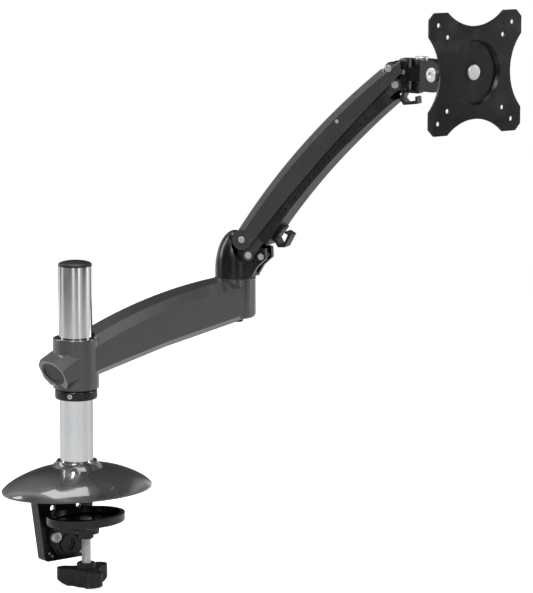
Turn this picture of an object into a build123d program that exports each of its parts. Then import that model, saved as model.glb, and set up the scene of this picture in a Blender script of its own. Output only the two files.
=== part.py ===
from build123d import *
from math import atan2, cos, degrees, hypot, radians, sin, sqrt
import os

# Gas-spring desk monitor arm: desk clamp, round pole, lower link, elbow, parallelogram lift arm, tilt head.
# Frame: origin on the desk seat under the base, on the pole's axis; +Z up, -Y towards the user.

# Base and desk clamp
baseHalfX = 84.0
baseHalfY = 66.0
baseRise = 24.0
neckTop = 31.0
seatPadTop = 2.0
footTop = 6.0
backFace = 21.5
backPlate = 4.0
backBottom = -79.5
screwY = -15.5
screwRadius = 5.0
padHalfX = 44.0
padHalfY = 34.0
padRim = -24.0
padUnder = -33.0
tongueTop = -40.0
tongueThick = 4.0
handleTop = -76.0
handleReach = 31.0

# Pole, 35 mm tube
poleRadius = 17.5
poleBore = 15.5
poleTop = 236.0
lockBottom = 96.5
lockTop = 106.8
lockRadius = 22.2

# Lower link
lowerPlan = 0.0
lowerReach = 209.0
lowerHalf = 22.0
collarRadius = 24.0
collarBottom = 108.2
collarTop = 161.0
elbowRadius = 22.5
elbowBottom = 161.5
elbowTop = 205.0

# Knuckle and lift linkage
upperPlan = -60.0
liftRest = 48.7
liftLength = 250.5
pivotFwd = 15.7
pivotZ = 249.0
linkDx = 6.5
linkDz = -17.0
springDz = -15.0
tensionFwd = 34.7
tensionZ = 230.5
earIn = 6.0
earOut = 12.4
barIn = 12.9
barOut = 14.9
coverIn = 17.6
coverOut = 20.1
pinRadius = 3.0
strutPinS = 170.0
strutPinH = 5.0

# Head
panFwd = 30.0
headDrop = -6.5
yokeHalfZ = 16.2
tiltReach = 35.0
tiltLift = 2.0
plateReach = 84.0
plateLift = 7.0
plateHalf = 62.5
plateThick = 2.5
dishRadius = 36.5

os.makedirs("parts", exist_ok=True)


def save(shape, name):
    export_step(shape, "parts/" + name + ".step")


def disc(radius, z0, z1, x=0.0, y=0.0):
    return Pos(x, y, (z0 + z1) / 2) * Cylinder(radius, z1 - z0)


def ring(outer, inner, z0, z1, x=0.0, y=0.0):
    return disc(outer, z0, z1, x, y) - disc(inner, z0 - 1, z1 + 1, x, y)


def block(x0, x1, y0, y1, z0, z1):
    return Pos((x0 + x1) / 2, (y0 + y1) / 2, (z0 + z1) / 2) * Box(x1 - x0, y1 - y0, z1 - z0)


def across(radius, x, z, y0, y1):
    """A round bar that runs along local Y."""
    return Pos(x, (y0 + y1) / 2, z) * Rot(90, 0, 0) * Cylinder(radius, y1 - y0)


def slab(face, y0, y1):
    """Extrude a sketch drawn as (x, z) between two Y values."""
    return Pos(0, y1, 0) * extrude(Plane.XZ * face, amount=y1 - y0)


def outline(*points):
    return make_face(Polyline(*points, close=True))


def mirrored(shape):
    return shape + mirror(shape, about=Plane.XZ)


def hexagon(acrossFlats, z0, z1, x=0.0, y=0.0):
    face = RegularPolygon(acrossFlats / 2, 6, major_radius=False)
    return Pos(x, y, z0) * extrude(face, amount=z1 - z0)


def hull(circles):
    """Convex outline round circles given as (x, z, r), as a union of tapered strips."""
    face = None
    for x, z, r in circles:
        one = Pos(x, z) * Circle(r)
        face = one if face is None else face + one
    for i, (x0, z0, r0) in enumerate(circles):
        for x1, z1, r1 in circles[i + 1:]:
            span = hypot(x1 - x0, z1 - z0)
            heading = atan2(z1 - z0, x1 - x0)
            lean = (r0 - r1) / span
            side = sqrt(1 - lean * lean)
            corners = []
            for sign in (1, -1):
                nx = lean * cos(heading) - sign * side * sin(heading)
                nz = lean * sin(heading) + sign * side * cos(heading)
                pair = [(x0 + r0 * nx, z0 + r0 * nz), (x1 + r1 * nx, z1 + r1 * nz)]
                corners += pair if sign == 1 else pair[::-1]
            face = face + outline(*corners)
    return face


def ellipse_prism(a, b, z0, z1, x=0.0, y=0.0):
    return Pos(x, y, z0) * extrude(Ellipse(a, b), amount=z1 - z0)


# Local frames
lowerFrame = Rot(0, 0, lowerPlan)
elbowX = lowerReach * cos(radians(lowerPlan))
elbowY = lowerReach * sin(radians(lowerPlan))
elbowFrame = Pos(elbowX, elbowY, 0) * Rot(0, 0, upperPlan)
armFrame = elbowFrame * Pos(pivotFwd, 0, pivotZ) * Rot(0, -liftRest, 0)
headFwd = pivotFwd + liftLength * cos(radians(liftRest))
headZ = pivotZ + liftLength * sin(radians(liftRest))
headFrame = elbowFrame * Pos(headFwd, 0, headZ)
panX = elbowX + (headFwd + panFwd) * cos(radians(upperPlan))
panY = elbowY + (headFwd + panFwd) * sin(radians(upperPlan))
yokeFrame = Pos(panX, panY, headZ + headDrop) * Rot(0, 0, -90)

# Second pivots in the arm frame at rest
lift = radians(liftRest)
p2s = linkDx * cos(lift) + linkDz * sin(lift)
p2h = -linkDx * sin(lift) + linkDz * cos(lift)
q2s = liftLength + p2s
strutFootS = springDz * sin(lift)
strutFootH = springDz * cos(lift)

# ---------------------------------------------------------------- base
def dome(halfX, halfY, topZ, edgeZ):
    """Oval dome: a short upright edge, then ellipses that shrink as it rises."""
    layers = []
    for frac in (1.0, 0.93, 0.84, 0.7, 0.52, 0.34):
        height = edgeZ + (topZ - edgeZ) * (1 - frac * frac) ** 0.8
        layers.append(Pos(0, 0, height) * Ellipse(halfX * frac, halfY * frac))
    return extrude(Ellipse(halfX, halfY), amount=edgeZ) + loft(layers)


outerDome = dome(baseHalfX, baseHalfY, 2 + baseRise + 1.6, 2.0)
innerDome = Pos(0, 0, -0.01) * dome(baseHalfX - 2.6, baseHalfY - 2.6, baseRise + 1.0, 0.8)
neckFace = make_face(
    Spline((30.0, 22.0), (26.5, 25.2), (23.2, 28.0), (21.2, neckTop))
    + Polyline((21.2, neckTop), (17.9, neckTop), (17.9, 20.0), (30.0, 20.0), (30.0, 22.0))
)
neck = revolve(Plane.XZ * neckFace, Axis.Z)
shell = outerDome - innerDome
shell = shell + neck
shell = shell - disc(17.9, -1, 60)
tabZone = block(-10, 10, -baseHalfY - 2, -33, -1, 30)
tabGap = block(-10.35, 10.35, -baseHalfY - 2, -32.65, -1, 30)
baseTab = shell & tabZone
baseTab = baseTab - Pos(0, -45, 31.0) * Sphere(12.0)
backNotch = block(-40.5, 40.5, backFace - 0.5, backFace + 14, -1, 5.2)
baseCover = shell - tabGap - backNotch
save(baseCover, "base_cover")
save(baseTab, "base_tab")

padFace = Rectangle(100, 66)
seatPad = extrude(fillet(padFace.vertices(), 6), amount=seatPadTop)
seatPad = Pos(0, -13, 0) * seatPad
save(seatPad, "seat_pad")

# Bent steel foot: flat top plate, tapered back plate and its side flanges
topPlate = block(-48, 48, -46, backFace + backPlate, seatPadTop, footTop)
topPlate = fillet(topPlate.edges().filter_by(Axis.Z).group_by(Axis.Y)[0], 8)
backOuter = outline((-38.8, footTop), (38.8, footTop), (26.6, backBottom), (-26.6, backBottom))
backInner = outline((-35.3, footTop + 1), (35.3, footTop + 1),
                    (23.1, backBottom - 1), (-23.1, backBottom - 1))
backBody = slab(backOuter, backFace, backFace + 13)
backBody = fillet(backBody.edges().filter_by(Axis.Y).group_by(Axis.Z)[0], 5)
backBody = backBody - slab(backInner, backFace + backPlate, backFace + 14)
boltX = 16.5
boltZ = -52.5
footPlate = topPlate + backBody
for sideX in (-boltX, boltX):
    footPlate = footPlate - across(3.2, sideX, boltZ, backFace - 1, backFace + 6)
    footPlate = footPlate - across(3.2, sideX, boltZ + 30, backFace - 1, backFace + 6)
flangeSpots = [(15.0, 15.0), (-15.0, 15.0), (15.0, -15.0), (-15.0, -15.0)]
for spotX, spotY in flangeSpots:
    footPlate = footPlate - disc(2.6, 0, 8, spotX, spotY)

rivets = None
for rivX, rivZ in ((-21.6, -70.8), (-18.2, -74.0), (21.6, -70.8), (18.2, -74.0)):
    one = across(1.3, rivX, rivZ, backFace - 0.8, backFace + 3)
    footPlate = footPlate - across(1.3, rivX, rivZ, backFace - 1, backFace + 3)
    rivets = one if rivets is None else rivets + one
save(footPlate, "clamp_back")
save(rivets, "back_rivets")

# Angle bracket with the tapped tongue
legFace = outline((-23, -38), (-23, -60), (-13, -75), (13, -75), (23, -60), (23, -38))
leg = slab(legFace, backFace - 4, backFace)
tongueFace = make_face(
    Polyline((-23, backFace), (-23, backFace - 12), (-13.5, screwY - 2))
    + ThreePointArc((-13.5, screwY - 2), (0, screwY - 14.5), (13.5, screwY - 2))
    + Polyline((13.5, screwY - 2), (23, backFace - 12), (23, backFace), (-23, backFace))
)
tongue = Pos(0, 0, tongueTop - tongueThick) * extrude(tongueFace, amount=tongueThick)
bracket = leg + tongue
bracket = bracket - block(-24, 24, backFace - 5, backFace + 1, tongueTop, -37)
rib = across(10.0, 0, -62, backFace - 5.4, backFace - 3)
rib = rib - across(7.6, 0, -62, backFace - 6, backFace - 4)
bracket = bracket + rib
bracket = bracket - across(5.0, 0, -62, backFace - 8, backFace - 3.2)
bracket = bracket - disc(screwRadius + 0.4, -50, -30, 0, screwY)
for sideX in (-boltX, boltX):
    bracket = bracket - across(3.2, sideX, boltZ, backFace - 6, backFace + 1)
save(bracket, "angle_bracket")

bolts = None
nuts = None
for sideX in (-boltX, boltX):
    head = across(6.2, sideX, boltZ, backFace - 8.2, backFace - 4)
    head = fillet(head.edges().group_by(Axis.Y)[0], 1.6)
    recess = across(3.4, sideX, boltZ, backFace - 9, backFace - 6.6)
    cross = recess & (
        block(sideX - 3.4, sideX + 3.4, backFace - 9, backFace, boltZ - 0.6, boltZ + 0.6)
        + block(sideX - 0.6, sideX + 0.6, backFace - 9, backFace, boltZ - 3.4, boltZ + 3.4)
    )
    one = head - cross + across(3.0, sideX, boltZ, backFace - 4, backFace + 10)
    bolts = one if bolts is None else bolts + one
    nut = Pos(sideX, backFace + 9, boltZ) * Rot(90, 0, 0) * hexagon(10, 0, 5)
    nut = nut - across(3.0, sideX, boltZ, backFace, backFace + 12)
    nuts = nut if nuts is None else nuts + nut
save(bolts, "bracket_bolts")
save(nuts, "bracket_nuts")

clampNut = hexagon(16, tongueTop, tongueTop + 4.6, 0, screwY) - disc(screwRadius + 0.08, -60, 0, 0, screwY)
save(clampNut, "clamp_nut")
bossTop = tongueTop - tongueThick
clampBoss = ring(8.2, screwRadius + 0.08, bossTop - 6, bossTop, 0, screwY)
clampBoss = chamfer(clampBoss.edges().group_by(Axis.Z)[0].sort_by(SortBy.LENGTH)[-1], 1.0)
save(clampBoss, "clamp_boss")

# Oval dished pad that the screw pushes up
padSolid = ellipse_prism(padHalfX, padHalfY, padUnder, padRim, 0, screwY)
padSolid = fillet(padSolid.edges().group_by(Axis.Z)[0], 2.0)
padDish = ellipse_prism(padHalfX - 5, padHalfY - 5, padUnder + 2.6, padRim + 1, 0, screwY)
padDish = fillet(padDish.edges().group_by(Axis.Z)[0], 2.0)
padSolid = padSolid - padDish - disc(4.2, padUnder - 1, padRim, 0, screwY)
save(padSolid, "clamp_pad")

threadTop = padUnder - 0.3
screwTip = padUnder + 2.9
screwRod = disc(screwRadius, handleTop - 10, threadTop, 0, screwY)
screwRod = screwRod + disc(3.9, threadTop, screwTip, 0, screwY)
tipHead = disc(6.2, screwTip, screwTip + 2.4, 0, screwY)
tipHead = fillet(tipHead.edges().group_by(Axis.Z)[-1], 1.2)
save(screwRod + tipHead, "clamp_screw")

# Three-lobed hand knob
knobFace = Circle(15.0)
for turn in (138, 258, 18):
    lobe = Pos(handleReach - 8.0, 0) * Circle(8.0)
    arm = Pos((handleReach - 8.0) / 2, 0) * Rectangle(handleReach - 8.0, 16.0)
    knobFace = knobFace + Rot(0, 0, turn) * (lobe + arm)
knobFace = fillet(knobFace.vertices(), 5.0)
knob = Pos(0, screwY, handleTop - 24) * extrude(knobFace, amount=18.0)
under = Pos(0, screwY, handleTop + 24) * Sphere(52.0)
knob = knob & under
knob = knob + disc(10.0, handleTop - 8, handleTop, 0, screwY)
knob = chamfer(knob.edges().group_by(Axis.Z)[-1], 1.0)
knob = knob - disc(screwRadius, handleTop - 10, handleTop + 5, 0, screwY)
save(knob, "clamp_knob")

# ---------------------------------------------------------------- pole
socket = disc(26, footTop, footTop + 4) + disc(poleBore - 0.1, footTop + 3, footTop + 34)
socket = socket - disc(6.0, footTop + 12, footTop + 40)
for spotX, spotY in flangeSpots:
    socket = socket - disc(2.6, 0, 14, spotX, spotY)
save(socket, "pole_socket")
socketScrews = None
for spotX, spotY in flangeSpots:
    one = disc(2.5, seatPadTop, footTop + 4, spotX, spotY)
    headTop = disc(4.4, footTop + 4, footTop + 6.6, spotX, spotY)
    headTop = fillet(headTop.edges().group_by(Axis.Z)[-1], 1.2)
    socketRecess = hexagon(3, footTop + 5.2, footTop + 8, spotX, spotY)
    one = one + headTop - socketRecess
    socketScrews = one if socketScrews is None else socketScrews + one
poleWall = ring(poleRadius, poleBore, footTop + 4, poleTop)
socketScrews = socketScrews - disc(poleRadius + 0.1, footTop + 4, 60)
save(socketScrews, "socket_screws")
save(poleWall, "pole")
capDome = disc(poleRadius, poleTop, poleTop + 1.6)
bulgeFace = make_face(
    EllipticalCenterArc((0, poleTop + 1.6), poleRadius, 4.2, start_angle=0, arc_size=90)
    + Polyline((0, poleTop + 5.8), (0, poleTop + 1.6), (poleRadius, poleTop + 1.6))
)
bulge = revolve(Plane.XZ * bulgeFace, Axis.Z)
cap = capDome + bulge + disc(poleBore - 0.05, poleTop - 12, poleTop)
cap = cap - disc(poleBore - 2, poleTop - 13, poleTop - 2)
save(cap, "pole_cap")

# Lock ring with its pinch screw; the arm's weight rests on it
lockRing = ring(lockRadius, poleRadius + 0.05, lockBottom, lockTop)
lockRing = fillet(lockRing.edges().filter_by(GeomType.CIRCLE).sort_by(SortBy.LENGTH)[-2:], 2.2)
camSide = -142.0
screwSpot = Rot(0, 0, camSide) * Pos(0, 0, (lockBottom + lockTop) / 2) * Rot(0, 90, 0)
lockScrew = screwSpot * Pos(0, 0, 20.1) * Cylinder(2.5, 4.8)
lockHex = screwSpot * Pos(0, 0, 22.0) * Rot(0, 0, 30) * extrude(RegularPolygon(1.3, 6), amount=3.0, both=True)
lockRing = lockRing - screwSpot * Pos(0, 0, 22) * Cylinder(2.5, 10)
save(lockRing, "lock_ring")
save(lockScrew - lockHex, "lock_screw")
save(ring(21.0, poleRadius + 0.15, lockTop, lockTop + 1.2), "swivel_washer")

# ---------------------------------------------------------------- lower link
beamTop = ThreePointArc((-36, 139), (60, 179), (190, 204.7))
beamFace = make_face(
    beamTop
    + Polyline((190, 204.7), (lowerReach, 204.7), (lowerReach, elbowBottom + 1), (196, 158.5),
               (104, 141.7), (26, 123.5), (-22, 111), (-36, 139))
)
beam = slab(beamFace, -lowerHalf, lowerHalf)


def long_edges(shape, half, above, longer):
    """Side edges of an extruded outline that run along its length."""
    sides = shape.edges().filter_by(lambda e: abs(abs(e.center().Y) - half) < 0.1)
    return sides.filter_by(lambda e: e.length > longer and e.center().Z > above)


beam = chamfer(long_edges(beam, lowerHalf, 170, 150), 8.5)
lowSides = beam.edges().filter_by(lambda e: abs(abs(e.center().Y) - lowerHalf) < 0.1)
beam = chamfer(lowSides.filter_by(lambda e: e.length > 60 and e.center().Z < 160), 7.0)
collar = disc(collarRadius, collarBottom, collarTop)
collar = fillet(collar.edges().group_by(Axis.Z)[-1], 1.5)
elbowPost = disc(elbowRadius, elbowBottom, elbowTop, lowerReach)
elbowPost = fillet(elbowPost.edges().group_by(Axis.Z)[0], 5.0)
casting = beam + collar + elbowPost
casting = casting - disc(20.0, 100, 170)
casting = casting - disc(12.0, elbowBottom - 8, elbowTop + 4, lowerReach)
hollowFace = outline(
    (14, 129), (14, 146), (26, 150), (36, 163), (90, 182), (150, 194), (180, 196),
    (180, 163), (104, 148), (36, 133), (26, 130),
)
casting = casting - slab(hollowFace, -16, 16)
endNormal = degrees(atan2(-14, -28))
capCentre = Pos(-29.0, 0, 125.0) * Rot(0, 90 - endNormal, 0)
capPocket = capCentre * Pos(0, 0, -1.1) * extrude(Ellipse(12.7, 18.2), amount=4)
casting = casting - capPocket
save(lowerFrame * casting, "lower_arm")
endCap = capCentre * Pos(0, 0, -1.1) * extrude(Ellipse(12.6, 18.1), amount=1.4)
endCap = endCap - capCentre * Pos(0, 0, -0.3) * extrude(Ellipse(9.0, 14.0), amount=4)
save(lowerFrame * endCap, "beam_end_cap")
save(lowerFrame * ring(20.0, poleRadius + 0.08, 147.5, 158.0), "collar_bush_top")
save(lowerFrame * ring(20.0, poleRadius + 0.08, collarBottom, 127.0), "collar_bush_low")
save(lowerFrame * ring(12.0, 8.06, elbowTop - 18.0, elbowTop, lowerReach), "elbow_bush_top")
save(lowerFrame * ring(12.0, 8.06, elbowBottom + 2.5, elbowBottom + 17.0, lowerReach), "elbow_bush_low")
save(lowerFrame * ring(20.5, 12.2, elbowTop, elbowTop + 1.0, lowerReach), "elbow_washer")

# ---------------------------------------------------------------- knuckle
kneeZ = elbowTop + 7.5
kneeBase = elbowTop + 1.2
kneeDome = scale(Sphere(21.5) & block(-30, 30, -30, 30, 0, 30), by=(1, 1, 44.0 / 21.5))
hood = Pos(0, 0, kneeZ) * kneeDome + disc(21.5, kneeBase, kneeZ)
kneeRoom = scale(Sphere(17.6) & block(-30, 30, -30, 30, 0, 30), by=(1, 1, 1.55))
hood = hood - Pos(0, 0, kneeZ + 14) * kneeRoom
hood = hood - across(35.0, 36.1, pivotZ + 2.0, -40, 40)
earFace = hull([(pivotFwd, pivotZ, 7.0), (21.5, pivotZ - 16.5, 8.0)])
earFace = earFace + hull([(tensionFwd, tensionZ, 5.2), (21.5, pivotZ - 16.5, 8.0)])
base = pivotZ - 38.5
earFace = earFace + outline((4, base), (9.5, base + 36), (24, base + 32), (39.5, base + 29),
                            (40.0, base + 17.6), (30, base + 8.5), (25, base))
earFace = earFace + outline((-3, base - 2), (4, base), (25, base), (21, base - 3), (-3, base - 3))
ears = mirrored(slab(earFace, earIn, earOut))
knuckle = hood + ears + block(-6, 24, -earOut, earOut, base - 3, base + 9)
knuckle = knuckle - disc(8.0, 190, kneeBase + 13.0)
knuckle = knuckle - across(pinRadius + 0.05, pivotFwd, pivotZ, -16, 16)
p2Fwd = pivotFwd + linkDx
p2Z = pivotZ + linkDz
knuckle = knuckle - mirrored(across(pinRadius + 0.05, p2Fwd, p2Z, 8.2, 16))
footZ = pivotZ + springDz
knuckle = knuckle - across(2.5, pivotFwd, footZ, -8.0, 8.0)
knuckle = knuckle - across(2.8, tensionFwd, tensionZ, -16, 16)
knuckle = knuckle - mirrored(across(3.6, tensionFwd, tensionZ, 11.2, 16))
swing = across(7.2, pivotFwd, footZ, -earIn, earIn)
knuckle = knuckle - swing
save(elbowFrame * knuckle, "knuckle")
save(elbowFrame * disc(8.0, elbowBottom + 2.0, kneeBase + 13.0), "elbow_shaft")
elbowNut = disc(9.0, elbowBottom - 4.6, elbowBottom + 2.0)
elbowNut = chamfer(elbowNut.edges().group_by(Axis.Z)[0], 1.2)
save(elbowFrame * elbowNut, "elbow_cap")
tensionPin = mirrored(across(2.8, tensionFwd, tensionZ, 6.3, 12.2))
tensionPin = tensionPin + mirrored(across(3.5, tensionFwd, tensionZ, 11.2, 12.2))
hexFace = RegularPolygon(1.7, 6)
tensionHex = Pos(tensionFwd, -12.4, tensionZ) * Rot(90, 0, 0) * extrude(hexFace, amount=1.3, both=True)
save(elbowFrame * (tensionPin - tensionHex), "tension_screw")
save(elbowFrame * across(2.5, pivotFwd, footZ, -8.0, 8.0), "strut_foot_pin")

# ---------------------------------------------------------------- upper link
coverFace = make_face(
    ThreePointArc((0, 11), (120, 18.6), (262, 3.4))
    + Polyline((262, 3.4), (267, -1.5), (257, -13.5))
    + ThreePointArc((257, -13.5), (110, -8.0), (0, -11))
    + ThreePointArc((0, -11), (-11, 0), (0, 11))
)
cover = slab(coverFace, -coverOut, coverOut)
cover = chamfer(long_edges(cover, coverOut, 5, 100), 8.0)
roomFace = make_face(
    ThreePointArc((-7.33, 4.5), (-4.3, 7.45), (0, 8.6))
    + ThreePointArc((0, 8.6), (120, 16.1), (262, 0.9))
    + Polyline((262, 0.9), (280, 0.9), (280, -40), (-20, -40), (-20, 4.5), (-7.33, 4.5))
)
room = slab(roomFace, -coverIn, coverIn)
room = chamfer(long_edges(room, coverIn, 5, 100), 7.2)
cover = cover - room
cover = cover - block(242.5, 280, -coverIn, coverIn, -40, 20)
for s in (0.0, liftLength):
    cover = cover - across(pinRadius, s, 0, -30, 30)
cover = cover - across(2.0, strutPinS, strutPinH, -30, 30)
save(armFrame * cover, "upper_cover")


def pivot_screws(s, h, inner, outer, headR):
    shank = across(pinRadius, s, h, inner, outer)
    head = across(headR, s, h, outer, outer + 0.7)
    head = fillet(head.edges().group_by(Axis.Y)[-1], 0.4)
    return mirrored(shank + head)


save(armFrame * pivot_screws(0, 0, 6.6, coverOut, 3.6), "lift_pin_rear")
save(armFrame * pivot_screws(liftLength, 0, 6.6, coverOut, 3.6), "lift_pin_front")
rearSleeve = mirrored(across(5.0, 0, 0, earOut + 0.2, coverIn) - across(pinRadius, 0, 0, 10, 20))
save(armFrame * rearSleeve, "rear_spacers")
save(armFrame * Pos(liftLength, 0, 0) * rearSleeve, "front_spacers")
strutPin = across(2.0, strutPinS, strutPinH, -coverOut, coverOut)
save(armFrame * strutPin, "strut_top_pin")
strutCollars = across(3.6, strutPinS, strutPinH, 4.6, 13.5) - across(2.0, strutPinS, strutPinH, 3, 20)
strutCollars = mirrored(strutCollars)
save(armFrame * strutCollars, "strut_pin_collars")

# Lower link of the parallelogram: two bars and a thin web
barPoints = [(p2s, p2h), (20, -13.4), (50, -10.9), (110, -10.0), (160, -11.4), (205, -14.0), (q2s, p2h)]


def band(points, up, down):
    """A face that follows a curve, up and down by fixed amounts."""
    high = [(s, h + up) for s, h in points]
    low = [(s, h - down) for s, h in points[::-1]]
    return make_face(
        Spline(*high) + Line(high[-1], low[0]) + Spline(*low) + Line(low[-1], high[0])
    )


barFace = band(barPoints, 5.0, 5.0) + Pos(p2s, p2h) * Circle(6.3) + Pos(q2s, p2h) * Circle(6.3)
bars = mirrored(slab(barFace, barIn, barOut))
bars = bars + mirrored(across(6.3, p2s, p2h, barOut, 16.8) + across(6.3, q2s, p2h, barOut, 16.8))
webZone = block(16, 222, -barIn - 0.5, barIn + 0.5, -40, 10)
web = slab(band(barPoints, -3.6, 4.6), -barIn - 0.5, barIn + 0.5) & webZone
bars = bars + web
for s in (p2s, q2s):
    bars = bars - across(pinRadius, s, p2h, -30, 30)
save(armFrame * bars, "lower_link")


def link_pins(s):
    shank = across(pinRadius, s, p2h, 8.3, 16.8)
    head = across(3.8, s, p2h, 16.8, 17.2)
    return mirrored(shank + head)


save(armFrame * link_pins(p2s), "link_pin_rear")
save(armFrame * link_pins(q2s), "link_pin_front")

# Clip-on cable tray under the lower link, with a row of slots in each wall
trayLow = [(14, -24.2), (22, -22.6), (60, -18.4), (93, -17.1),
           (128, -17.3), (165, -19.4), (203, -23.0), (228, -26.4)]
trayTop = [(228, -11), (205, -9.6), (177, -7.6), (140, -5.0),
           (104, -4.0), (60, -5.0), (32, -7.0), (14, -9.0)]
trayFace = make_face(
    Spline(*trayLow) + Line(trayLow[-1], trayTop[0]) + Spline(*trayTop) + Line(trayTop[-1], trayLow[0])
)
trayRoomLow = [(s, h + 1.5) for s, h in trayLow]
trayRoomFace = make_face(
    Spline(*trayRoomLow) + Polyline(trayRoomLow[-1], (228, 20), (14, 20), trayRoomLow[0])
)
tray = slab(trayFace, -17.1, 17.1)
tray = tray - slab(trayRoomFace, -15.2, 15.2)
slots = None
for i in range(20):
    s = 34 + 8.4 * i
    h = -13.6 + 0.00042 * (s - 105) ** 2
    h = h - 0.0009 * (s - 105) ** 2
    cell = Pos(s, 0, h) * Rot(90, 0, 0) * extrude(RegularPolygon(1.7, 6), amount=20, both=True)
    slots = cell if slots is None else slots + cell
tray = tray - slots
save(armFrame * tray, "cable_tray")


def cable_clip(width):
    """C-shaped clip: foot on top, hooked jaw below, open at one side."""
    body = outline((0, 0), (19, 0), (19, -3), (16.6, -3.4), (17.4, -14), (2.0, -15.6), (-2.6, -9.5), (0, -3))
    gap = outline((4.0, -2.6), (14.6, -3.0), (15.0, -11.0), (4.6, -12.6), (1.2, -8.6))
    mouth = outline((14, -3.0), (21, -3.2), (21, -7.0), (14, -6.4))
    return slab(body, -width / 2, width / 2) - slab(gap, -width, width) - slab(mouth, -width, width)


clipRear = Pos(20, 0, -23.3) * Rot(0, -7, 0) * cable_clip(16)
save(armFrame * clipRear, "clip_rear")

# Gas spring, foot on the knuckle and top pin in the cover
strutLength = hypot(strutPinS - strutFootS, strutPinH - strutFootH)
strutLean = degrees(atan2(strutPinH - strutFootH, strutPinS - strutFootS))
strutFrame = armFrame * Pos(strutFootS, 0, strutFootH) * Rot(0, -strutLean, 0)


def lengthwise(radius, x0, x1):
    return Pos((x0 + x1) / 2, 0, 0) * Rot(0, 90, 0) * Cylinder(radius, x1 - x0)


rod = lengthwise(4.0, 5.0, 140.0) + across(6.0, 0, 0, -4.0, 4.0) - across(2.56, 0, 0, -6, 6)
save(strutFrame * rod, "strut_rod")
tube = lengthwise(7.0, 98.0, strutLength - 10)
tube = fillet(tube.edges().group_by(Axis.X)[0], 1.5)
tube = tube + lengthwise(3.5, strutLength - 10.5, strutLength - 3)
tube = tube + across(5.9, strutLength, 0, -4.0, 4.0)
tube = tube - across(4.4, strutLength, 0, -6, 6) - lengthwise(4.08, 90, 158)
save(strutFrame * tube, "strut_tube")

# ---------------------------------------------------------------- head link
headCheek = hull([(0, 0, 6.3), (linkDx, linkDz, 6.3), (12, -3, 6.0), (12, -16, 6.0)])
headEars = mirrored(slab(headCheek, earIn, earOut))
headBlock = block(9.0, 17.5, -earOut, earOut, -23.2, 9.6)
headBlock = fillet(headBlock.edges().filter_by(Axis.X), 3.0)
tongueHalf = 6.9
tongueBar = block(14, panFwd, -10.0, 10.0, headDrop - tongueHalf, headDrop + tongueHalf)
tongueBar = tongueBar + disc(10.0, headDrop - tongueHalf, headDrop + tongueHalf, panFwd)
headLink = headEars + headBlock + tongueBar
headLink = headLink - disc(5.05, -40, 20, panFwd)
headLink = headLink - across(pinRadius + 0.05, 0, 0, -16, 16)
headLink = headLink - across(pinRadius + 0.3, linkDx, linkDz, -16, 16)
save(headFrame * headLink, "head_link")
headScrews = mirrored(across(2.6, 13.3, -3.6, earOut, earOut + 0.8))
save(headFrame * headScrews, "head_screws")
clipHead = Pos(15, 0, -23.2) * cable_clip(14)
clipHead = headFrame * (Pos(-4.5, 0, 0) * clipHead)
save(clipHead, "clip_head")

# Pan yoke: two arms on a vertical pin, a back wall and two cheeks
armFace = Circle(11.0) + Pos(8, 0) * Rectangle(16, 22)
upperArm = Pos(0, 0, 7.9) * extrude(armFace, amount=yokeHalfZ - 7.9)
lowerArm = Pos(0, 0, -yokeHalfZ) * extrude(armFace, amount=yokeHalfZ - 7.9)
yokeWall = block(14, 21.5, -14.8, 14.8, -yokeHalfZ, yokeHalfZ)
cheekFace = make_face(
    Polyline((18, -yokeHalfZ), (tiltReach, -yokeHalfZ))
    + ThreePointArc((tiltReach, -yokeHalfZ), (tiltReach + 13.5, 0), (tiltReach, yokeHalfZ))
    + Polyline((tiltReach, yokeHalfZ), (18, yokeHalfZ), (18, -yokeHalfZ))
)
cheeks = mirrored(slab(cheekFace, 9.3, 14.8))
yoke = upperArm + lowerArm + yokeWall + cheeks
yoke = yoke - disc(5.0, -30, 30)
yoke = yoke - across(4.0, tiltReach, tiltLift, -20, 20)
save(yokeFrame * yoke, "pan_yoke")
panPin = disc(5.0, -yokeHalfZ, yokeHalfZ)
panHead = disc(7.0, yokeHalfZ, yokeHalfZ + 2.2)
panPin = panPin + fillet(panHead.edges().group_by(Axis.Z)[-1], 1.2)
save(yokeFrame * panPin, "pan_pin")
panWashers = ring(9.5, 5.0, tongueHalf + 0.1, 7.9) + ring(9.5, 5.0, -7.9, -tongueHalf - 0.1)
save(yokeFrame * panWashers, "pan_washers")
tiltBolt = across(4.0, tiltReach, tiltLift, -14.8, 20.5)
tiltHead = across(7.6, tiltReach, tiltLift, -18.4, -14.8)
tiltHead = fillet(tiltHead.edges().group_by(Axis.Y)[0], 1.0)
tiltSocket = extrude(RegularPolygon(3.6, 6), amount=1.6, both=True)
tiltHex = Pos(tiltReach, -18.4, tiltLift) * Rot(90, 0, 0) * tiltSocket
save(yokeFrame * (tiltBolt + tiltHead - tiltHex), "tilt_bolt")
tiltNut = Pos(tiltReach, 20.0, tiltLift) * Rot(90, 0, 0) * hexagon(13, 0, 5.2)
tiltNut = tiltNut - across(4.0, tiltReach, tiltLift, 10, 22)
save(yokeFrame * tiltNut, "tilt_nut")
tiltRing = across(8.5, tiltReach, tiltLift, 8.5, 9.3) - across(4.0, tiltReach, tiltLift, 5, 12)
save(yokeFrame * mirrored(tiltRing), "tilt_washers")

# Tilting stem that carries the plate's turning hub
hubZ = plateLift
stemFace = hull([(tiltReach, tiltLift, 9.5), (62, hubZ, 9.5)])
stem = slab(stemFace, -8.4, 8.4)


def along(radius, x0, x1, z):
    return Pos((x0 + x1) / 2, 0, z) * Rot(0, 90, 0) * Cylinder(radius, x1 - x0)


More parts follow.
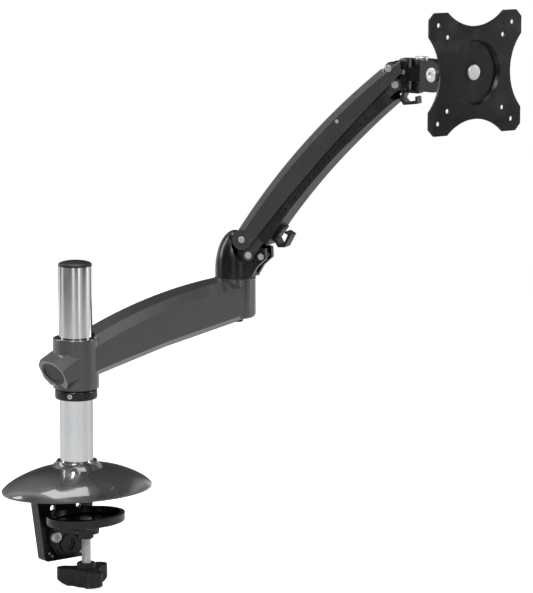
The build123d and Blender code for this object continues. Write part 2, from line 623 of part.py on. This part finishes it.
flange = along(22.0, 70.5, 76.0, hubZ)
flange = fillet(flange.edges().group_by(Axis.X)[0], 2.0)
stem = stem + flange + along(12.5, 58, 71, hubZ)
stem = stem - across(4.05, tiltReach, tiltLift, -12, 12)
stem = stem - along(4.0, 60, 80, hubZ)
save(yokeFrame * stem, "tilt_stem")
save(yokeFrame * (along(20.0, 76.0, 77.2, hubZ) - along(4.0, 70, 80, hubZ)), "turn_washer")
centreBolt = along(4.0, 60, 80.1, hubZ)
centreHead = along(8.0, 80.1, 82.4, hubZ)
centreHead = fillet(centreHead.edges().group_by(Axis.X)[-1], 1.2)
save(yokeFrame * (centreBolt + centreHead), "centre_bolt")

# VESA plate, 75 and 100 mm patterns, drawn face on and then stood up
corner = 54.5
waist = 38.0
dip = 47.5
side = make_face(
    ThreePointArc((-waist, plateHalf), (0, dip), (waist, plateHalf))
    + Polyline((waist, plateHalf), (waist, plateHalf + 20), (-waist, plateHalf + 20), (-waist, plateHalf))
)
plateFace = RectangleRounded(2 * plateHalf, 2 * plateHalf, 3)
for turn in range(4):
    plateFace = plateFace - Rot(0, 0, 90 * turn) * side
for turn in range(4):
    tip = outline((corner, plateHalf + 1), (plateHalf + 1, corner), (plateHalf + 9, plateHalf + 9))
    plateFace = plateFace - Rot(0, 0, 90 * turn) * tip
plate = extrude(plateFace, amount=plateThick)
for half in (37.5, 50.0):
    for signX in (1, -1):
        for signY in (1, -1):
            plate = plate - disc(2.6, -1, 5, signX * half, signY * half)
plate = plate - disc(33.5, -1, 5)
dishFace = make_face(Polyline(
    (dishRadius, 0), (dishRadius, plateThick), (33.9, plateThick), (31.4, plateThick - 4.0),
    (4.08, plateThick - 4.0), (4.08, -4.0), (32.6, -4.0), (35.0, 0), close=True))
plate = plate + revolve(Plane.XZ * dishFace, Axis.Z)
stand = Pos(plateReach - plateThick, 0, hubZ) * Rot(0, 90, 0)
save(yokeFrame * (stand * plate), "vesa_plate")

print("elbow axis", round(elbowX, 3), round(elbowY, 3))
print("rear pivot fwd, z", pivotFwd, pivotZ, "link pivot", p2Fwd, p2Z)
print("front pivot fwd, z", round(headFwd, 3), round(headZ, 3))
print("pan axis", round(panX, 3), round(panY, 3), round(headZ + headDrop, 3))
print("strut length", round(strutLength, 3), "lean", round(strutLean, 3))
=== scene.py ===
import bmesh
import bpy
from math import cos, pi, radians, sin
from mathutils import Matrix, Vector


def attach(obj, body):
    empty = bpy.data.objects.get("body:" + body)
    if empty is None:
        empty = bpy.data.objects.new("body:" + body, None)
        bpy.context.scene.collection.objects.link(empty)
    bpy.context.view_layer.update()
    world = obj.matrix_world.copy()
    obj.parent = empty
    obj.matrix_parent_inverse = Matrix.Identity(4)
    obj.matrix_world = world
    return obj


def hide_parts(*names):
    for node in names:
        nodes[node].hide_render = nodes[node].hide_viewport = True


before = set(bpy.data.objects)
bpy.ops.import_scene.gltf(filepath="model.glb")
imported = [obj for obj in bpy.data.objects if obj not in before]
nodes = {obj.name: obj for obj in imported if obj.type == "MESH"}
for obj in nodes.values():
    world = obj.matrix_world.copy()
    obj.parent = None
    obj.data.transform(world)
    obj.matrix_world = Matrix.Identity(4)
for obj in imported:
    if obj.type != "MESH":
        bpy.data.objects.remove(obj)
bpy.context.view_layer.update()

# Desk monitor arm: clamp, round pole, lower link, gas-spring lift arm, tilting head and mounting plate.
print("arm loaded,", len(nodes), "nodes")


# Small helpers for shader nodes
def addNode(tree, kind, x, y, **settings):
    node = tree.nodes.new(kind)
    node.location = (x, y)
    for name, value in settings.items():
        setattr(node, name, value)
    return node


def link(tree, fromSocket, toSocket):
    tree.links.new(fromSocket, toSocket)


def ramp(tree, x, y, stops):
    node = addNode(tree, "ShaderNodeValToRGB", x, y)
    bar = node.color_ramp
    while len(bar.elements) < len(stops):
        bar.elements.new(0.5)
    for element, (place, shade) in zip(bar.elements, stops):
        element.position = place
        element.color = (shade, shade, shade, 1)
    return node


def newGroup(name, inputs, outputs):
    group = bpy.data.node_groups.new(name, "ShaderNodeTree")
    for label, kind, value in inputs:
        socket = group.interface.new_socket(label, in_out="INPUT", socket_type=kind)
        socket.default_value = value
    for label, kind in outputs:
        group.interface.new_socket(label, in_out="OUTPUT", socket_type=kind)
    inside = addNode(group, "NodeGroupInput", -900, 0)
    outside = addNode(group, "NodeGroupOutput", 700, 0)
    return group, inside, outside


floatKind = "NodeSocketFloat"
colorKind = "NodeSocketColor"


# Worn paint colour: a body colour with soft cloudy change and tiny flakes
def buildFinishColour():
    group, inside, outside = newGroup("finishColour", [
        ("Colour", colorKind, (0.1, 0.1, 0.1, 1)), ("Lighter", colorKind, (0.2, 0.2, 0.2, 1)),
        ("Dust", colorKind, (0.4, 0.38, 0.35, 1)), ("Cloud Scale", floatKind, 18.0),
        ("Flake Scale", floatKind, 2600.0), ("Flake Amount", floatKind, 0.2),
        ("Cloud Amount", floatKind, 0.25), ("Dust Amount", floatKind, 0.04),
    ], [("Colour", colorKind)])
    place = addNode(group, "ShaderNodeTexCoord", -900, -400)
    cloud = addNode(group, "ShaderNodeTexNoise", -650, 200)
    cloud.inputs["Detail"].default_value = 5
    flake = addNode(group, "ShaderNodeTexVoronoi", -650, -50)
    dust = addNode(group, "ShaderNodeTexNoise", -650, -350)
    dust.inputs["Detail"].default_value = 8
    dust.inputs["Scale"].default_value = 46
    for texture in (cloud, flake, dust):
        link(group, place.outputs["Object"], texture.inputs["Vector"])
    link(group, inside.outputs["Cloud Scale"], cloud.inputs["Scale"])
    link(group, inside.outputs["Flake Scale"], flake.inputs["Scale"])
    cloudMask = ramp(group, -440, 200, [(0.3, 0), (0.75, 1)])
    link(group, cloud.outputs["Fac"], cloudMask.inputs["Fac"])
    cloudFac = addNode(group, "ShaderNodeMath", -180, 200, operation="MULTIPLY")
    link(group, cloudMask.outputs["Color"], cloudFac.inputs[0])
    link(group, inside.outputs["Cloud Amount"], cloudFac.inputs[1])
    flakeGrey = addNode(group, "ShaderNodeSeparateColor", -440, -50)
    link(group, flake.outputs["Color"], flakeGrey.inputs["Color"])
    flakeFac = addNode(group, "ShaderNodeMath", -180, -50, operation="MULTIPLY")
    link(group, flakeGrey.outputs["Red"], flakeFac.inputs[0])
    link(group, inside.outputs["Flake Amount"], flakeFac.inputs[1])
    both = addNode(group, "ShaderNodeMath", 0, 100, operation="ADD", use_clamp=True)
    link(group, cloudFac.outputs[0], both.inputs[0])
    link(group, flakeFac.outputs[0], both.inputs[1])
    mixBody = addNode(group, "ShaderNodeMix", 200, 150, data_type="RGBA")
    link(group, both.outputs[0], mixBody.inputs["Factor"])
    link(group, inside.outputs["Colour"], mixBody.inputs[6])
    link(group, inside.outputs["Lighter"], mixBody.inputs[7])
    dustMask = ramp(group, -440, -350, [(0.52, 0), (0.8, 1)])
    link(group, dust.outputs["Fac"], dustMask.inputs["Fac"])
    dustFac = addNode(group, "ShaderNodeMath", -180, -350, operation="MULTIPLY")
    link(group, dustMask.outputs["Color"], dustFac.inputs[0])
    link(group, inside.outputs["Dust Amount"], dustFac.inputs[1])
    mixDust = addNode(group, "ShaderNodeMix", 450, 100, data_type="RGBA")
    link(group, dustFac.outputs[0], mixDust.inputs["Factor"])
    link(group, mixBody.outputs[2], mixDust.inputs[6])
    link(group, inside.outputs["Dust"], mixDust.inputs[7])
    link(group, mixDust.outputs[2], outside.inputs["Colour"])
    return group


# Handling marks: smudges that dull the gloss, and fine scratches in a few directions
def buildHandling():
    group, inside, outside = newGroup("handlingMarks", [
        ("Gloss", floatKind, 0.2), ("Smudge", floatKind, 0.12), ("Scratch", floatKind, 0.1),
        ("Smudge Scale", floatKind, 30.0), ("Scratch Scale", floatKind, 90.0),
    ], [("Roughness", floatKind)])
    place = addNode(group, "ShaderNodeTexCoord", -900, -400)
    smudge = addNode(group, "ShaderNodeTexNoise", -600, 200)
    smudge.inputs["Detail"].default_value = 7
    smudge.inputs["Distortion"].default_value = 0.8
    link(group, place.outputs["Object"], smudge.inputs["Vector"])
    link(group, inside.outputs["Smudge Scale"], smudge.inputs["Scale"])
    smudgeMask = ramp(group, -380, 200, [(0.35, 0), (0.75, 1)])
    link(group, smudge.outputs["Fac"], smudgeMask.inputs["Fac"])
    total = None
    for turn, y in ((0.5, -50), (1.9, -300)):
        lay = addNode(group, "ShaderNodeMapping", -760, y)
        lay.inputs["Rotation"].default_value = (turn, turn * 0.6, turn * 1.7)
        lay.inputs["Scale"].default_value = (1, 22, 22)
        link(group, place.outputs["Object"], lay.inputs["Vector"])
        lines = addNode(group, "ShaderNodeTexNoise", -560, y)
        lines.inputs["Detail"].default_value = 2
        link(group, lay.outputs["Vector"], lines.inputs["Vector"])
        link(group, inside.outputs["Scratch Scale"], lines.inputs["Scale"])
        thin = ramp(group, -340, y, [(0.66, 0), (0.7, 1)])
        link(group, lines.outputs["Fac"], thin.inputs["Fac"])
        if total is None:
            total = thin.outputs["Color"]
        else:
            most = addNode(group, "ShaderNodeMath", -60, -150, operation="MAXIMUM")
            link(group, total, most.inputs[0])
            link(group, thin.outputs["Color"], most.inputs[1])
            total = most.outputs[0]
    smudgeAdd = addNode(group, "ShaderNodeMath", 0, 200, operation="MULTIPLY_ADD")
    link(group, smudgeMask.outputs["Color"], smudgeAdd.inputs[0])
    link(group, inside.outputs["Smudge"], smudgeAdd.inputs[1])
    link(group, inside.outputs["Gloss"], smudgeAdd.inputs[2])
    scratchAdd = addNode(group, "ShaderNodeMath", 300, 100, operation="MULTIPLY_ADD", use_clamp=True)
    link(group, total, scratchAdd.inputs[0])
    link(group, inside.outputs["Scratch"], scratchAdd.inputs[1])
    link(group, smudgeAdd.outputs[0], scratchAdd.inputs[2])
    link(group, scratchAdd.outputs[0], outside.inputs["Roughness"])
    return group


# Surface grain: an even pebble or orange peel, with a finer tooth over it
def buildGrain():
    group, inside, outside = newGroup("surfaceGrain", [
        ("Pebble Scale", floatKind, 700.0), ("Tooth Scale", floatKind, 2400.0), ("Tooth", floatKind, 0.3),
        ("Stretch", "NodeSocketVector", (1, 1, 1)),
    ], [("Height", floatKind)])
    place = addNode(group, "ShaderNodeTexCoord", -900, -400)
    lay = addNode(group, "ShaderNodeMapping", -700, -300)
    link(group, place.outputs["Object"], lay.inputs["Vector"])
    link(group, inside.outputs["Stretch"], lay.inputs["Scale"])
    pebble = addNode(group, "ShaderNodeTexNoise", -420, 100)
    pebble.inputs["Detail"].default_value = 2
    tooth = addNode(group, "ShaderNodeTexNoise", -420, -150)
    tooth.inputs["Detail"].default_value = 3
    for texture, name in ((pebble, "Pebble Scale"), (tooth, "Tooth Scale")):
        link(group, lay.outputs["Vector"], texture.inputs["Vector"])
        link(group, inside.outputs[name], texture.inputs["Scale"])
    total = addNode(group, "ShaderNodeMath", 200, 0, operation="MULTIPLY_ADD")
    link(group, tooth.outputs["Fac"], total.inputs[0])
    link(group, inside.outputs["Tooth"], total.inputs[1])
    link(group, pebble.outputs["Fac"], total.inputs[2])
    link(group, total.outputs[0], outside.inputs["Height"])
    return group


finishColour = buildFinishColour()
handlingMarks = buildHandling()
surfaceGrain = buildGrain()
print("shader groups ready")


def rgba(shade):
    return (shade[0], shade[1], shade[2], 1)


def placeGroup(tree, group, y, values):
    node = addNode(tree, "ShaderNodeGroup", -300, y)
    node.node_tree = group
    for socketName, value in values.items():
        node.inputs[socketName].default_value = value
    return node


# What a finish has when its own dictionary doesn't say otherwise
plainLook = dict(ior=1.5, coat=0, coatRough=0.05, cloud=0.3, cloudScale=18, flake=0, flakeScale=2600,
                 dust=0.03, dustColour=(0.35, 0.33, 0.3), smudge=0.1, smudgeScale=30, scratch=0.08,
                 scratchScale=90, pebble=700, tooth=2400, toothAmount=0.3, stretch=(1, 1, 1),
                 bump=0.1, depth=0.0004)


# One finish for one kind of surface, from its dictionary
def makeFinish(name, ownLook):
    look = plainLook | ownLook
    material = bpy.data.materials.new(name)
    material.use_nodes = True
    tree = material.node_tree
    tree.nodes.clear()
    out = addNode(tree, "ShaderNodeOutputMaterial", 700, 0)
    skin = addNode(tree, "ShaderNodeBsdfPrincipled", 400, 0)
    link(tree, skin.outputs["BSDF"], out.inputs["Surface"])
    skin.inputs["Metallic"].default_value = look["metal"]
    skin.inputs["IOR"].default_value = look["ior"]
    skin.inputs["Coat Weight"].default_value = look["coat"]
    skin.inputs["Coat Roughness"].default_value = look["coatRough"]

    colour = placeGroup(tree, finishColour, 250, {
        "Colour": rgba(look["colour"]), "Lighter": rgba(look["lighter"]), "Dust": rgba(look["dustColour"]),
        "Cloud Scale": look["cloudScale"], "Cloud Amount": look["cloud"],
        "Flake Scale": look["flakeScale"], "Flake Amount": look["flake"],
        "Dust Amount": look["dust"],
    })
    link(tree, colour.outputs["Colour"], skin.inputs["Base Color"])

    marks = placeGroup(tree, handlingMarks, 0, {
        "Gloss": look["rough"], "Smudge": look["smudge"], "Scratch": look["scratch"],
        "Smudge Scale": look["smudgeScale"], "Scratch Scale": look["scratchScale"],
    })
    link(tree, marks.outputs["Roughness"], skin.inputs["Roughness"])

    grain = placeGroup(tree, surfaceGrain, -250, {
        "Pebble Scale": look["pebble"], "Tooth Scale": look["tooth"], "Tooth": look["toothAmount"],
        "Stretch": look["stretch"],
    })
    bump = addNode(tree, "ShaderNodeBump", 100, -250)
    bump.inputs["Strength"].default_value = look["bump"]
    bump.inputs["Distance"].default_value = look["depth"]
    link(tree, grain.outputs["Height"], bump.inputs["Height"])
    link(tree, bump.outputs["Normal"], skin.inputs["Normal"])
    if look["coat"] > 0:
        link(tree, bump.outputs["Normal"], skin.inputs["Coat Normal"])
    return material


finishes = {
    "metallicGrey": dict(colour=(0.022, 0.023, 0.021), lighter=(0.085, 0.088, 0.08), metal=0.45, rough=0.32,
                         flake=0.4, flakeScale=3200, cloud=0.12, coat=1.0, coatRough=0.04,
                         smudge=0.07, scratch=0.05, pebble=420, tooth=1700, toothAmount=0.2, bump=0.05),
    "glossBlack": dict(colour=(0.003, 0.003, 0.003), lighter=(0.009, 0.009, 0.01), metal=0.0, rough=0.22,
                       cloud=0.35, ior=1.33, coat=0.25, coatRough=0.07, smudge=0.1, scratch=0.08,
                       pebble=380, tooth=1500, bump=0.1, dust=0.03),
    "satinBlack": dict(colour=(0.002, 0.002, 0.002), lighter=(0.007, 0.007, 0.007), metal=0.0, rough=0.26,
                       ior=1.33, cloud=0.35, flake=0.15, flakeScale=2200, smudge=0.08, scratch=0.1,
                       pebble=900, tooth=3000, bump=0.2, dust=0.05),
    "mouldedBlack": dict(colour=(0.005, 0.005, 0.005), lighter=(0.016, 0.016, 0.016), metal=0.0,
                         rough=0.36, ior=1.4, cloud=0.3, smudge=0.12, scratch=0.06, pebble=1300, tooth=4200,
                         toothAmount=0.6, bump=0.25, depth=0.0003, dust=0.05),
    "poleAluminium": dict(colour=(0.62, 0.63, 0.64), lighter=(0.86, 0.87, 0.88), metal=1.0, rough=0.09,
                          cloud=0.35, cloudScale=9, smudge=0.1, scratch=0.06,
                          pebble=900, tooth=2600, stretch=(1, 1, 0.015), bump=0.14, depth=0.0003,
                          dustColour=(0.5, 0.5, 0.49), dust=0.05),
    "zincBright": dict(colour=(0.52, 0.53, 0.52), lighter=(0.7, 0.71, 0.7), metal=0.85, rough=0.33,
                       cloud=0.3, cloudScale=70, smudge=0.08, smudgeScale=90, scratch=0.06,
                       scratchScale=200, pebble=900, tooth=3200, bump=0.03, depth=0.0002,
                       dustColour=(0.4, 0.38, 0.33), dust=0.05),
    "hardChrome": dict(colour=(0.7, 0.7, 0.71), lighter=(0.85, 0.85, 0.86), metal=1.0, rough=0.08,
                       cloud=0.3, smudge=0.08, scratch=0.05, pebble=1500, tooth=5000, bump=0.03),
    "cutFoam": dict(colour=(0.012, 0.012, 0.012), lighter=(0.05, 0.05, 0.05), metal=0.0, rough=0.85,
                    cloud=0.6, cloudScale=300, smudge=0.1, scratch=0.0, pebble=1100, tooth=2500,
                    toothAmount=0.8, bump=0.9, depth=0.0008, dust=0.1),
    "darkNylon": dict(colour=(0.03, 0.03, 0.03), lighter=(0.09, 0.09, 0.09), metal=0.0, rough=0.45,
                      cloud=0.4, smudge=0.1, scratch=0.05, pebble=1400, tooth=3800, bump=0.12, dust=0.05),
    "deepRecess": dict(colour=(0.006, 0.006, 0.006), lighter=(0.014, 0.014, 0.014), metal=0.0, rough=0.5,
                       cloud=0.4, smudge=0.1, scratch=0.05, pebble=1100, tooth=3400, bump=0.2, dust=0.02),
}
made = {name: makeFinish(name, look) for name, look in finishes.items()}
print("finishes made,", len(made))

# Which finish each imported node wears
wearing = {
    "metallicGrey": "base_cover base_tab lower_arm upper_cover lower_link",
    "glossBlack": "clamp_back angle_bracket clamp_boss clamp_pad lock_ring knuckle head_link pan_yoke "
                  "tilt_stem pole_socket strut_tube",
    "satinBlack": "vesa_plate",
    "mouldedBlack": "clamp_knob pole_cap cable_tray clip_rear clip_head elbow_cap",
    "deepRecess": "beam_end_cap",
    "poleAluminium": "pole",
    "hardChrome": "strut_rod",
    "cutFoam": "seat_pad",
    "darkNylon": "swivel_washer collar_bush_top collar_bush_low elbow_bush_top elbow_bush_low elbow_washer "
                 "rear_spacers front_spacers pan_washers tilt_washers turn_washer "
                 "strut_pin_collars",
}
finishOf = {}
for finishName, names in wearing.items():
    for nodeName in names.split():
        finishOf[nodeName] = finishName
for nodeName, piece in nodes.items():
    material = made[finishOf.get(nodeName, "zincBright")]
    if not piece.material_slots:
        piece.data.materials.append(material)
    for spot in piece.material_slots:
        spot.material = material
print("finishes put on")


def newPiece(name, mesh, finishName, body):
    piece = bpy.data.objects.new(name, mesh)
    bpy.context.scene.collection.objects.link(piece)
    mesh.materials.append(made[finishName])
    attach(piece, body)
    return piece


# Clamp screw with its rolled thread
threadLook = dict(axisX=0.0, axisY=-0.0155, low=-0.086, high=-0.0333, crest=0.005, root=0.0041, pitch=0.0015,
                  around=48, perTurn=8, startShrink=0.97, crestWidth=1.35, flankSlope=2.7, flankGain=1.15,
                  neckRadius=0.0039, neckStep=0.0001, tipRadius=0.0062, tipLow=-0.0301, tipHigh=-0.0277,
                  tipStep=0.00001, tipEdge=0.0011, tipRings=5)


def threadedRod(look):
    mesh = bpy.data.meshes.new("threadedClampScrew")
    shape = bmesh.new()
    steps = int((look["high"] - look["low"]) / look["pitch"] * look["perTurn"])
    rings = []

    def addRing(z, radiusAt):
        loop = []
        for i in range(look["around"]):
            angle = 2 * pi * i / look["around"]
            radius = radiusAt(angle)
            x = look["axisX"] + radius * cos(angle)
            y = look["axisY"] + radius * sin(angle)
            loop.append(shape.verts.new((x, y, z)))
        rings.append(loop)

    def threadAt(z):
        # the ridge fades out over the first and last turn
        fade = min(1, (z - look["low"]) / look["pitch"], (look["high"] - z) / look["pitch"])

        def radiusAt(angle):
            turn = (z / look["pitch"] - angle / (2 * pi)) % 1.0
            slope = max(0, look["crestWidth"] - look["flankSlope"] * abs(turn - 0.5))
            ridge = min(1, slope * look["flankGain"])
            return look["root"] + (look["crest"] - look["root"]) * ridge * max(0, fade)
        return radiusAt

    addRing(look["low"], lambda angle: look["root"] * look["startShrink"])
    for i in range(1, steps):
        z = look["low"] + (look["high"] - look["low"]) * i / steps
        addRing(z, threadAt(z))
    addRing(look["high"], lambda angle: look["root"])
    addRing(look["high"] + look["neckStep"], lambda angle: look["neckRadius"])
    addRing(look["tipLow"], lambda angle: look["neckRadius"])
    addRing(look["tipLow"] + look["tipStep"], lambda angle: look["tipRadius"])
    edge = look["tipEdge"]
    for k in range(look["tipRings"]):
        lean = k / (look["tipRings"] - 1) * pi / 2
        z = look["tipHigh"] - edge + edge * sin(lean)
        addRing(z, lambda angle, lean=lean: look["tipRadius"] - edge + edge * cos(lean))
    for lowRing, highRing in zip(rings, rings[1:]):
        for i in range(look["around"]):
            j = (i + 1) % look["around"]
            shape.faces.new((lowRing[i], lowRing[j], highRing[j], highRing[i]))
    shape.faces.new(rings[0][::-1])
    shape.faces.new(rings[-1])
    for face in shape.faces:
        face.smooth = len(face.verts) == 4
    shape.to_mesh(mesh)
    shape.free()
    return mesh


screwPiece = newPiece("threadedClampScrew", threadedRod(threadLook), "zincBright", "hand_screw")
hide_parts("clamp_screw")
print("clamp screw threaded")


# Floor, lamps, room and camera
floorLook = dict(height=-0.1004, half=1.7, shade=0.5, darkerPatch=0.97, patchScale=3, rough=0.7,
                 seenGlow=(0.8, 0.8, 0.8))


def makeFloor(look):
    mesh = bpy.data.meshes.new("paleFloor")
    half = look["half"]
    z = look["height"]
    corners = [(-half, -half, z), (half, -half, z), (half, half, z), (-half, half, z)]
    mesh.from_pydata(corners, [], [(0, 1, 2, 3)])
    floor = bpy.data.objects.new("paleFloor", mesh)
    bpy.context.scene.collection.objects.link(floor)
    material = bpy.data.materials.new("paleFloor")
    material.use_nodes = True
    tree = material.node_tree
    skin = tree.nodes["Principled BSDF"]
    skin.inputs["Roughness"].default_value = look["rough"]
    noise = addNode(tree, "ShaderNodeTexNoise", -600, 0)
    noise.inputs["Scale"].default_value = look["patchScale"]
    shade = ramp(tree, -400, 0, [(0.3, look["shade"] * look["darkerPatch"]), (0.7, look["shade"])])
    link(tree, noise.outputs["Fac"], shade.inputs["Fac"])
    link(tree, shade.outputs["Color"], skin.inputs["Base Color"])
    # the floor looks lit to the lens, but throws no extra light up at the arm
    seen = addNode(tree, "ShaderNodeLightPath", -600, -300)
    link(tree, seen.outputs["Is Camera Ray"], skin.inputs["Emission Strength"])
    skin.inputs["Emission Color"].default_value = rgba(look["seenGlow"])
    mesh.materials.append(material)


makeFloor(floorLook)

lampLooks = {
    "keySoftbox": dict(place=(-1.5, -1.1, 1.7), aim=(0.1, -0.08, 0.2), width=0.7, height=0.9, power=34),
    "frontStrip": dict(place=(-0.2, -2.6, 1.5), aim=(0.15, -0.08, 0.25), width=0.35, height=1.3, power=16),
    "fillSoftbox": dict(place=(2.0, -1.3, 0.9), aim=(0.15, -0.08, 0.2), width=0.6, height=1.5, power=16),
    "rimStrip": dict(place=(-1.1, 1.6, 1.2), aim=(0.15, -0.08, 0.25), width=0.5, height=1.6, power=20),
    "topSoftbox": dict(place=(0.2, 0.1, 2.2), aim=(0.15, -0.08, 0.2), width=1.2, height=1.2, power=30),
}


def makeLamp(name, look):
    lamp = bpy.data.lights.new(name, "AREA")
    lamp.shape = "RECTANGLE"
    lamp.size = look["width"]
    lamp.size_y = look["height"]
    lamp.energy = look["power"]
    holder = bpy.data.objects.new(name, lamp)
    bpy.context.scene.collection.objects.link(holder)
    holder.location = look["place"]
    direction = Vector(look["aim"]) - Vector(look["place"])
    holder.rotation_euler = direction.to_track_quat("-Z", "Y").to_euler()


for name, look in lampLooks.items():
    makeLamp(name, look)

# The room round the arm: lit panels with dark gaps between them, and plain white to the lens
roomLook = dict(strength=2.4, seenWhite=1.0, heights=[(0.0, 0.7), (0.3, 0.3), (0.8, 0.8)],
                panels=[(0.01, 0.12), (0.07, 0.05), (0.11, 0.5), (0.15, 1.0), (0.19, 0.3), (0.24, 0.06),
                        (0.36, 0.15), (0.44, 1.0), (0.5, 0.4), (0.6, 0.25), (0.7, 0.04), (0.88, 0.06),
                        (0.92, 1.0), (0.98, 0.4)])


def makeRoom(look):
    room = bpy.data.worlds.new("studioWorld")
    room.use_nodes = True
    tree = room.node_tree
    sky = tree.nodes["Background"]
    sky.inputs["Strength"].default_value = look["strength"]
    place = addNode(tree, "ShaderNodeTexCoord", -1000, 0)
    parts = addNode(tree, "ShaderNodeSeparateXYZ", -800, 0)
    link(tree, place.outputs["Generated"], parts.inputs["Vector"])
    shade = ramp(tree, -600, 0, look["heights"])
    link(tree, parts.outputs["Z"], shade.inputs["Fac"])
    # X runs from -1 to 1 round the room, and the ramp from 0 to 1
    half = 0.5
    across = addNode(tree, "ShaderNodeMath", -800, -250, operation="MULTIPLY_ADD")
    across.inputs[1].default_value = half
    across.inputs[2].default_value = half
    link(tree, parts.outputs["X"], across.inputs[0])
    panels = ramp(tree, -600, -250, look["panels"])
    link(tree, across.outputs[0], panels.inputs["Fac"])
    lit = addNode(tree, "ShaderNodeMix", -400, -100, data_type="RGBA", blend_type="MULTIPLY")
    lit.inputs["Factor"].default_value = 1
    link(tree, shade.outputs["Color"], lit.inputs[6])
    link(tree, panels.outputs["Color"], lit.inputs[7])
    seen = addNode(tree, "ShaderNodeLightPath", -600, 300)
    choice = addNode(tree, "ShaderNodeMix", -250, 0, data_type="RGBA")
    white = look["seenWhite"] / look["strength"]
    choice.inputs[7].default_value = rgba((white, white, white))
    link(tree, seen.outputs["Is Camera Ray"], choice.inputs["Factor"])
    link(tree, lit.outputs[2], choice.inputs[6])
    link(tree, choice.outputs[2], sky.inputs["Color"])
    bpy.context.scene.world = room


makeRoom(roomLook)
bpy.context.scene.view_settings.view_transform = "Standard"

cameraLook = dict(target=(0.1753, -0.098, 0.199), azimuth=-38.0, elevation=8.8, distance=3.222, lens=186.6,
                  sensor=36, farthest=60)


def makeCamera(look):
    lensData = bpy.data.cameras.new("productCamera")
    lensData.lens = look["lens"]
    lensData.sensor_width = look["sensor"]
    holder = bpy.data.objects.new("productCamera", lensData)
    bpy.context.scene.collection.objects.link(holder)
    a = radians(look["azimuth"])
    e = radians(look["elevation"])
    away = Vector((sin(a) * cos(e), -cos(a) * cos(e), sin(e)))
    holder.location = Vector(look["target"]) + away * look["distance"]
    holder.rotation_euler = away.to_track_quat("Z", "Y").to_euler()
    lensData.clip_end = look["farthest"]
    bpy.context.scene.camera = holder


makeCamera(cameraLook)
print("floor, lights and camera ready")
